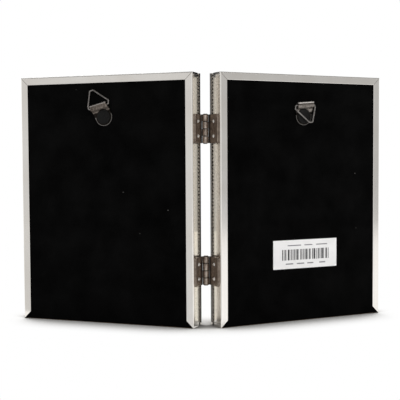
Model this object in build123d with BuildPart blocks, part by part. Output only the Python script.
from build123d import *
import os
from math import asin, ceil, cos, hypot, radians, sin

# Hinged double photo frame: two panels that stand like an open book.
# Millimetres and degrees. +Z is up and the pictures face -Y.
# Each panel has its own plane: x to the right seen from the front, y up,
# z from the back of the panel (0) to its front (panel_depth).

# Panels
panel_width = 129.5
panel_height = 171.5
panel_depth = 16.4
rest_opening = 135.0

# Rails, folded from plated sheet
sheet = 0.6
back_lip = 5.25
front_face = 14.5
hem_width = 4.0
bend_radius = 0.2
lip_round = 0.4

# Beaded strips, soldered into a groove in the edge of the panel
bead_pitch = 2.55
bead_neck = 0.36
bead_side_gap = 0.1
bead_sink = 0.06
bead_end_gap = 0.1
front_band = 3.1

# What lies in the panel, from the glass to the velvet
glass_thickness = 2.0
insert_thickness = 0.3
board_thickness = 4.0
velvet_thickness = 0.6
pack_gap = 0.5
slide_gap = 0.25
board_side_gap = 0.3
board_top_gap = 0.5
velvet_lift = 0.3

# Hinges
hinge_height = 19.5
hinge_inset = 37.4
hinge_out = 3.0
hinge_forward = 0.5
leaf_thickness = 0.8
leaf_back = 3.2
leaf_corner = 1.0
leaf_end_gap = 0.3
barrel_radius = 2.15
knuckles = 4
knuckle_gap = 0.12
pin_radius = 0.9
pin_clearance = 0.05
pin_head_radius = 1.5
pin_head = 0.35
pin_head_taper = 20.0
screw_pitch = 9.8
screw_set_back = 1.45
screw_radius = 0.7
screw_clearance = 0.05
screw_head_radius = 1.5
screw_head = 0.9
screw_tip = 2.2

# Hangers: a folded strap that turns on a rivet, and a wire ring in its fold
hanger_room = 2.05
strap_width = 12.3
strap_sheet = 0.5
strap_reach = 8.65
strap_gap = 0.05
strap_tilt = {"left": 4.2, "right": 14.5}
fold_shift = {"left": 2.0, "right": -1.9}
fold_radius = 1.3
fold_step = 0.2
fold_slack = 2.0
rivet_radius = 1.5
rivet_clearance = 0.05
rivet_head_radius = 4.75
rivet_head_edge = 0.35
rivet_head_dome = 0.55
rivet_foot_radius = 2.6
rivet_foot = 0.6
rivet_foot_sink = 0.3
ring_wire_radius = 0.58
ring_clearance = 0.05
ring_end_room = 1.5
ring_slip = {"left": -0.5, "right": 0.0}
ring_near_ear = 7.6
ring_far_ear = 8.4
ring_ear = 2.4
ring_reach = 12.3
ring_tip = 2.6
ring_tip_shift = 2.5
ring_bend = 0.9
ring_split = 1.0
ring_rest_gap = 0.12

# Stock label on the back of the left panel
label_width = 52.0
label_height = 20.0
label_thickness = 0.15
label_shift = -2.0
label_centre = 46.9

# Worked out from the sizes above
bead_crest = hypot(bead_pitch / 2, bead_neck)
groove_half = bead_crest + bead_side_gap
groove_depth = bead_crest + bead_sink
bead_z = panel_depth - front_band - groove_half
inner_edge = groove_depth + sheet
screw_depth = bead_z - groove_half - screw_set_back

velvet_z = sheet + slide_gap
board_z = velvet_z + velvet_thickness
board_front = board_z + board_thickness
pad_z = board_front + slide_gap
glass_z = panel_depth - 2 * sheet - glass_thickness
insert_z = glass_z - insert_thickness
pack_width = panel_width - 2 * (back_lip + pack_gap)
pack_height = panel_height - back_lip - inner_edge - pack_gap
board_width = panel_width - 2 * (sheet + board_side_gap)
board_height = panel_height - sheet - board_top_gap

fold = radians(90 - rest_opening / 2)
hinge_x = panel_width / 2 + hinge_out
hinge_z = panel_depth + hinge_forward
reach_y = (panel_width + 2 * hinge_out) * sin(fold)
axis_y = (reach_y - (panel_depth + 2 * hinge_forward) * cos(fold)) / 2
hinge_heights = {
    "upper": panel_height - hinge_inset,
    "lower": hinge_inset,
}
knuckle_length = (hinge_height - (knuckles - 1) * knuckle_gap) / knuckles

loop_z = velvet_z - strap_gap - fold_radius
rivet_head_z = velvet_z - 2 * strap_gap - 2 * strap_sheet
rivet_top_z = rivet_head_z - rivet_head_edge - rivet_head_dome

# Both rings stay in the middle of the slack in their folds
ring_drop = fold_slack / 2
ring_turn = {"left": 1, "right": -1}

# The standing ring stays below the top rail when its strap is turned
tip_offset = abs(fold_shift["right"]) + ring_tip_shift + ring_tip / 2
ring_swing = hypot(strap_reach - ring_drop + ring_reach, tip_offset) + ring_wire_radius
hanger_height = panel_height - back_lip - hanger_room - ring_swing

# Lean of each ring from straight up: one hangs over its rivet, one leans on the velvet
rest_height = ring_wire_radius + ring_rest_gap
ring_lean = {
    "left": radians(180) - asin((loop_z - rivet_top_z + rest_height) / (strap_reach - ring_drop)),
    "right": -asin((velvet_z - loop_z - rest_height) / ring_reach),
}

X, Y, Z = (1, 0, 0), (0, 1, 0), (0, 0, 1)


def panel_plane(hinge_side):
    """Back plane of a panel whose hinge is on its right (1) or its left (-1)."""
    x_dir = Vector(cos(fold), hinge_side * sin(fold), 0)
    z_dir = Vector(hinge_side * sin(fold), -cos(fold), 0)
    hinge_axis = Vector(0, axis_y, 0)
    origin = hinge_axis - x_dir * (hinge_side * hinge_x) - z_dir * hinge_z
    return Plane(origin, x_dir=x_dir, z_dir=z_dir)


def on_plane(base, origin, x_dir, z_dir):
    """A plane given in another plane's coordinates."""
    return Plane(base.location * Plane(origin, x_dir=x_dir, z_dir=z_dir).location)


def save(builder, name):
    """Label a finished piece and write it."""
    builder.part.label = name
    export_step(builder.part, f"parts/{name}.step")


def edge_plane(panel, hinge_side):
    """Plane of a panel's hinge-side edge: x up the edge, z away from the panel."""
    origin = (hinge_side * panel_width / 2, 0, 0)
    return on_plane(panel, origin, Y, (hinge_side, 0, 0))


def screw_points(hinge_side, centres):
    """Screw places on the edge plane."""
    offsets = (-screw_pitch / 2, screw_pitch / 2)
    return [(centre + offset, hinge_side * screw_depth) for centre in centres for offset in offsets]


def rail_section(has_back_lip):
    """Corners of a rail's section: distance in from the edge, height above the back."""
    low, high = bead_z - groove_half, bead_z + groove_half
    hem = front_face - hem_width
    groove = [(0, low), (groove_depth, low), (groove_depth, high), (0, high)]
    front = [
        (0, panel_depth),
        (front_face, panel_depth),
        (front_face, panel_depth - 2 * sheet),
        (hem, panel_depth - 2 * sheet),
        (hem, panel_depth - sheet),
        (sheet, panel_depth - sheet),
    ]
    inside = [
        (sheet, high + sheet),
        (inner_edge, high + sheet),
        (inner_edge, low - sheet),
        (sheet, low - sheet),
    ]
    if has_back_lip:
        return [(back_lip, 0), (0, 0)] + groove + front + inside + [(sheet, sheet), (back_lip, sheet)]
    return [(0, pad_z)] + groove + front + inside + [(sheet, pad_z)]


def rail_bends(has_back_lip):
    """Rounded corners of the section and their radii."""
    hem_radius = 0.9 * sheet
    inner_front = min(bend_radius, (front_band - 2 * sheet) / 2)
    bends = [
        ((0, panel_depth), bend_radius + sheet),
        ((sheet, panel_depth - sheet), inner_front),
        ((front_face, panel_depth), hem_radius),
        ((front_face, panel_depth - 2 * sheet), hem_radius),
    ]
    if has_back_lip:
        bends += [
            ((0, 0), bend_radius + sheet),
            ((sheet, sheet), bend_radius),
            ((back_lip, 0), lip_round),
        ]
    return bends


def make_rail(panel, name, corner, inward, along, length, has_back_lip=True, hinge_side=0):
    """One rail, mitred at both ends, that runs from a corner of the panel."""
    with BuildPart() as rail:
        with BuildSketch(on_plane(panel, corner, inward, along)) as section:
            with BuildLine():
                Polyline(*rail_section(has_back_lip), close=True)
            make_face()
            for point, radius in rail_bends(has_back_lip):
                fillet(section.vertices().sort_by_distance(point)[0], radius)
        extrude(amount=length)
        with BuildSketch(on_plane(panel, corner, along, Z)):
            with BuildLine():
                Polyline(
                    (0, 0),
                    (length, 0),
                    (length - front_face, front_face),
                    (front_face, front_face),
                    close=True,
                )
            make_face()
        extrude(amount=panel_depth, mode=Mode.INTERSECT)
        if hinge_side:
            with BuildSketch(edge_plane(panel, hinge_side)):
                with Locations(*screw_points(hinge_side, hinge_heights.values())):
                    Circle(screw_radius + screw_clearance)
            extrude(amount=-sheet, mode=Mode.SUBTRACT)
    save(rail, name)


def rail_runs():
    """Corner, inward direction, run direction and length of each side of a panel."""
    half = panel_width / 2
    return {
        "top": ((half, panel_height, 0), (0, -1, 0), (-1, 0, 0), panel_width),
        "bottom": ((-half, 0, 0), Y, X, panel_width),
        "left": ((-half, panel_height, 0), X, (0, -1, 0), panel_height),
        "right": ((half, 0, 0), (-1, 0, 0), Y, panel_height),
    }


def bead_spans(run_name, hinge_run, length):
    """Start and end of each beaded strip along one side of a panel."""
    if run_name in ("top", "bottom"):
        return [(bead_sink, length - bead_sink)]
    ends = groove_depth + bead_end_gap
    if run_name != hinge_run:
        return [(ends, length - ends)]
    cut = hinge_height / 2 + leaf_end_gap
    low, high = hinge_heights["lower"], hinge_heights["upper"]
    return [(ends, low - cut), (low + cut, high - cut), (high + cut, length - ends)]


def make_bead_border(panel, name, hinge_run):
    """Half-round beaded strips on all four edges of a panel."""
    with BuildPart() as border:
        for run_name, (corner, inward, along, length) in rail_runs().items():
            axis_start = Vector(*corner) + Vector(*inward) * groove_depth + Vector(*Z) * bead_z
            normal = Vector(*inward) * -1
            strip_plane = on_plane(panel, axis_start, along, normal)
            turn_axis = Axis(strip_plane.origin, strip_plane.x_dir)
            for start, end in bead_spans(run_name, hinge_run, length):
                count = ceil((end - start) / bead_pitch)
                pitch = (end - start) / count
                crest = hypot(pitch / 2, bead_neck)
                with BuildSketch(strip_plane):
                    with BuildLine():
                        Polyline((end, -bead_neck), (end, 0), (start, 0), (start, -bead_neck))
                        for bead in range(count):
                            left = start + bead * pitch
                            right = end if bead == count - 1 else left + pitch
                            ThreePointArc(
                                (left, -bead_neck),
                                ((left + right) / 2, -crest),
                                (right, -bead_neck),
                            )
                    make_face()
                revolve(axis=turn_axis, revolution_arc=-180)
    save(border, name)


def make_sheet(panel, name, width, height, bottom, back, thickness, rivet_hole=0.0):
    """A flat rectangular layer of a panel, with a hole for the rivet where it has one."""
    with BuildPart() as layer:
        with BuildSketch(panel.offset(back)):
            with Locations((0, bottom)):
                Rectangle(width, height, align=(Align.CENTER, Align.MIN))
            if rivet_hole:
                with Locations((0, hanger_height)):
                    Circle(rivet_hole, mode=Mode.SUBTRACT)
        extrude(amount=thickness)
    save(layer, name)


def make_back_board(panel, name):
    """Fibreboard back that slides down out of the panel, with a seat for the rivet's foot."""
    seat_depth = rivet_foot + rivet_foot_sink
    with BuildPart() as board:
        with BuildSketch(panel.offset(board_z)):
            Rectangle(board_width, board_height, align=(Align.CENTER, Align.MIN))
            with Locations((0, hanger_height)):
                Circle(rivet_radius + rivet_clearance, mode=Mode.SUBTRACT)
        extrude(amount=board_thickness)
        with BuildSketch(panel.offset(board_front)):
            with Locations((0, hanger_height)):
                Circle(rivet_foot_radius + rivet_clearance)
        extrude(amount=-seat_depth, mode=Mode.SUBTRACT)
    save(board, name)


def make_rivet(panel, name):
    """Large domed rivet that holds a hanger strap to the back board."""
    foot_front = board_front - rivet_foot_sink
    foot_back = foot_front - rivet_foot
    edge_z = rivet_head_z - rivet_head_edge
    section_plane = on_plane(panel, (0, hanger_height, 0), X, (0, -1, 0))
    with BuildPart() as rivet:
        with BuildSketch(section_plane):
            with BuildLine():
                TangentArc((0, rivet_top_z), (rivet_head_radius, edge_z), tangent=(1, 0))
                Polyline(
                    (rivet_head_radius, edge_z),
                    (rivet_head_radius, rivet_head_z),
                    (rivet_radius, rivet_head_z),
                    (rivet_radius, foot_back),
                    (rivet_foot_radius, foot_back),
                    (rivet_foot_radius, foot_front),
                    (0, foot_front),
                    (0, rivet_top_z),
                )
            make_face()
        revolve(axis=Axis(section_plane.origin, section_plane.y_dir))
    save(rivet, name)


def hanger_plane(panel, side, z):
    """Plane at the rivet, seen from behind: x across the strap, y towards its fold."""
    tilt = radians(strap_tilt[side])
    return on_plane(panel, (0, hanger_height, z), (-cos(tilt), sin(tilt), 0), (0, 0, -1))


def make_strap(panel, side):
    """Sheet strap folded double round the ring, with a round end at the rivet."""
    base = hanger_plane(panel, side, velvet_z - strap_gap)
    plate = 2 * strap_sheet
    half = strap_width / 2
    front = 2 * fold_radius - fold_step
    bore = ring_wire_radius + ring_clearance
    across = on_plane(base, (-strap_width, 0, 0), Y, X)
    with BuildPart() as strap:
        with BuildSketch(across):
            with BuildLine():
                Polyline(
                    (-strap_width, 0),
                    (strap_reach, 0),
                    (strap_reach, front),
                    (strap_reach - fold_slack - bore, front),
                    (rivet_head_radius + strap_gap, plate),
                    (-strap_width, plate),
                    close=True,
                )
            make_face()
            with Locations((strap_reach, fold_radius)):
                Circle(fold_radius)
        extrude(amount=2 * strap_width)
        with BuildSketch(base) as outline:
            Circle(half)
            with Locations((fold_shift[side], strap_reach)):
                Rectangle(strap_width, 2 * fold_radius)
            make_hull(outline.edges())
        extrude(amount=2 * fold_radius, mode=Mode.INTERSECT)
        with BuildSketch(across):
            with Locations((strap_reach - fold_slack / 2, fold_radius)):
                SlotCenterToCenter(fold_slack, 2 * bore)
        extrude(amount=2 * strap_width, mode=Mode.SUBTRACT)
        with BuildSketch(base):
            Circle(rivet_radius + rivet_clearance)
        extrude(amount=plate, mode=Mode.SUBTRACT)
    save(strap, f"{side}_hanger_strap")


def make_ring(panel, side):
    """Lopsided triangular wire ring, split inside the strap's fold."""
    lean = ring_lean[side]
    turn = ring_turn[side]
    hanger = hanger_plane(panel, side, loop_z)
    pivot = (fold_shift[side] + ring_slip[side], strap_reach - ring_drop, 0)
    ring_plane = on_plane(hanger, pivot, X, (0, -sin(lean), cos(lean)))
    base_end = strap_width / 2 + ring_end_room
    route = [
        (ring_split / 2, 0),
        (base_end, 0),
        (ring_near_ear, ring_ear),
        (ring_tip_shift + ring_tip / 2, ring_reach),
        (ring_tip_shift - ring_tip / 2, ring_reach),
        (-ring_far_ear, ring_ear),
        (-base_end, 0),
        (-ring_split / 2, 0),
    ]
    with BuildPart() as ring:
        with BuildLine(ring_plane) as wire:
            FilletPolyline(*[(turn * x, y) for x, y in route], radius=ring_bend)
        with BuildSketch(Plane(wire.line @ 0, z_dir=wire.line % 0)):
            Circle(ring_wire_radius)
        sweep()
    save(ring, f"{side}_hanger_ring")


def make_leaf(panel, name, centre, hinge_side, own_knuckles):
    """Hinge leaf: a plate on the panel's edge, and knuckles carried out to the pin."""
    bottom = centre - hinge_height / 2
    plate_depth = panel_depth - leaf_back
    plate_middle = (leaf_back + panel_depth) / 2
    axis_point = (hinge_side * hinge_x, -hinge_z)
    root_point = (hinge_side * (panel_width + leaf_thickness) / 2, leaf_thickness / 2 - panel_depth)
    web_middle = ((axis_point[0] + root_point[0]) / 2, (axis_point[1] + root_point[1]) / 2)
    with BuildPart() as leaf:
        with BuildSketch(edge_plane(panel, hinge_side)) as plate:
            with Locations((centre, hinge_side * plate_middle)):
                Rectangle(hinge_height, plate_depth)
            back_corners = plate.vertices().group_by(Axis.Y)[0 if hinge_side > 0 else -1]
            fillet(back_corners, leaf_corner)
            with Locations(*screw_points(hinge_side, [centre])):
                Circle(screw_radius + screw_clearance, mode=Mode.SUBTRACT)
        extrude(amount=leaf_thickness)
        for knuckle in own_knuckles:
            low = bottom + knuckle * (knuckle_length + knuckle_gap)
            with BuildSketch(on_plane(panel, (0, low, 0), X, Y)):
                SlotCenterPoint(web_middle, axis_point, leaf_thickness)
                with Locations(axis_point):
                    Circle(barrel_radius)
                    Circle(pin_radius + pin_clearance, mode=Mode.SUBTRACT)
            extrude(amount=knuckle_length)
    save(leaf, name)


def make_pin(name, centre):
    """Hinge pin with a small head at each end."""
    low = centre - hinge_height / 2 - knuckle_gap
    length = hinge_height + 2 * knuckle_gap
    with BuildPart() as pin:
        with BuildSketch(Plane((0, axis_y, low))):
            Circle(pin_radius)
        extrude(amount=length)
        for end, direction in ((low, -1), (low + length, 1)):
            with BuildSketch(Plane((0, axis_y, end), x_dir=X, z_dir=(0, 0, direction))):
                Circle(pin_head_radius)
            extrude(amount=pin_head, taper=pin_head_taper)
    save(pin, name)


def make_screws(panel, name, centre, hinge_side):
    """The two dome-headed screws of one leaf."""
    length = leaf_thickness + sheet + screw_tip
    edge = edge_plane(panel, hinge_side).offset(leaf_thickness)
    with BuildPart() as screws:
        for point in screw_points(hinge_side, [centre]):
            axis_plane = on_plane(edge, (*point, 0), X, Y)
            with BuildSketch(axis_plane):
                with BuildLine():
                    Polyline(
                        (0, -screw_head),
                        (0, length),
                        (screw_radius, length - screw_radius),
                        (screw_radius, 0),
                        (screw_head_radius, 0),
                    )
                    TangentArc((0, -screw_head), (screw_head_radius, 0), tangent=(1, 0))
                make_face()
            revolve(axis=Axis(axis_plane.origin, axis_plane.y_dir))
    save(screws, name)


def make_label(panel, name):
    """Paper stock label stuck to the velvet."""
    with BuildPart() as label:
        with BuildSketch(panel.offset(velvet_z)):
            with Locations((label_shift, label_centre)):
                Rectangle(label_width, label_height)
        extrude(amount=-label_thickness)
    save(label, name)


os.makedirs("parts", exist_ok=True)
panels = {"left": (panel_plane(1), 1), "right": (panel_plane(-1), -1)}
runs = rail_runs()

for side, (panel, hinge_side) in panels.items():
    hinge_run, outer_run = ("right", "left") if hinge_side > 0 else ("left", "right")
    make_rail(panel, f"{side}_top_rail", *runs["top"])
    make_rail(panel, f"{side}_bottom_rail", *runs["bottom"], has_back_lip=False)
    make_rail(panel, f"{side}_outer_stile", *runs[outer_run])
    make_rail(panel, f"{side}_hinge_stile", *runs[hinge_run], hinge_side=hinge_side)
    make_bead_border(panel, f"{side}_bead_border", hinge_run)

    pack = (pack_width, pack_height, inner_edge)
    make_sheet(panel, f"{side}_glass", *pack, glass_z, glass_thickness)
    make_sheet(panel, f"{side}_photo_insert", *pack, insert_z, insert_thickness)
    make_sheet(panel, f"{side}_backing_pad", *pack, pad_z, insert_z - pad_z)
    make_back_board(panel, f"{side}_back_board")
    velvet = (board_width, board_height - velvet_lift, velvet_lift, velvet_z, velvet_thickness)
    make_sheet(panel, f"{side}_velvet_back", *velvet, rivet_hole=rivet_radius + rivet_clearance)
    make_rivet(panel, f"{side}_hanger_rivet")
    make_strap(panel, side)
    make_ring(panel, side)

    # Counted from the bottom: the left leaf has the first and third knuckles
    own_knuckles = (0, 2) if side == "left" else (1, 3)
    for level, centre in hinge_heights.items():
        make_leaf(panel, f"{level}_hinge_{side}_leaf", centre, hinge_side, own_knuckles)
        make_screws(panel, f"{level}_hinge_{side}_screws", centre, hinge_side)

for level, centre in hinge_heights.items():
    make_pin(f"{level}_hinge_pin", centre)

make_label(panels["left"][0], "stock_label")
